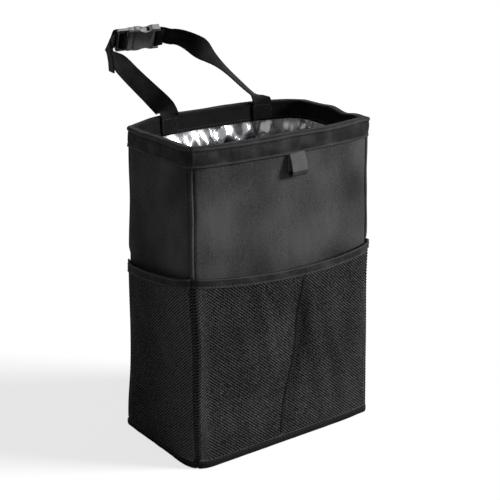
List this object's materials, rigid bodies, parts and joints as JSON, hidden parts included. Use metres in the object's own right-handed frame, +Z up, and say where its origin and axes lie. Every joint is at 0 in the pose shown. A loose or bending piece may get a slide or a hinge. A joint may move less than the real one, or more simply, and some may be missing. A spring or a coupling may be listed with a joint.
{
  "type": "car trash bin",
  "caption": "Tall soft-sided car trash bin with a foil lining, mesh pockets, a pull tab and a buckled headrest strap.",
  "frame": {"origin": "centre of the bag's underside, on the surface it stands on", "axes": "+Z up the bag, -Y out of the wide front wall with the pull tab, X across the width"},
  "size_m": [0.2196, 0.1967, 0.3725],
  "materials": {
    "oxford_cloth": "black coated oxford cloth, fine plain weave",
    "base_cloth": "black coated cloth",
    "stiffener": "pale polyethylene board",
    "foil": "crinkled aluminised film",
    "binding": "black woven binding tape",
    "mesh": "black knitted mesh",
    "webbing": "black ribbed webbing",
    "tab_webbing": "dark grey woven tape",
    "buckle_plastic": "black moulded acetal, satin"
  },
  "bodies": {
    "bin": {"front_panel": "oxford_cloth", "back_panel": "oxford_cloth", "left_panel": "oxford_cloth", "right_panel": "oxford_cloth", "base_panel": "base_cloth", "front_board": "stiffener", "back_board": "stiffener", "left_board": "stiffener", "right_board": "stiffener", "base_board": "stiffener", "foil_lining": "foil", "rim_binding": "binding", "base_binding": "binding", "front_left_piping": "binding", "front_right_piping": "binding", "back_left_piping": "binding", "back_right_piping": "binding", "front_pocket_mesh": "mesh", "left_pocket_mesh": "mesh", "right_pocket_mesh": "mesh", "front_pocket_binding": "binding", "left_pocket_binding": "binding", "right_pocket_binding": "binding", "front_tab": "tab_webbing", "strap_left": "webbing", "strap_right": "webbing", "buckle_socket": "buckle_plastic"},
    "plug": {"buckle_plug": "buckle_plastic"}
  },
  "joints": [
    {"name": "buckle_release", "type": "slide", "parent": "bin", "child": "plug", "axis": [-0.9635, 0.2636, -0.0471], "range_m": [0, 0.024], "deforming": ["strap_left"]}
  ]
}
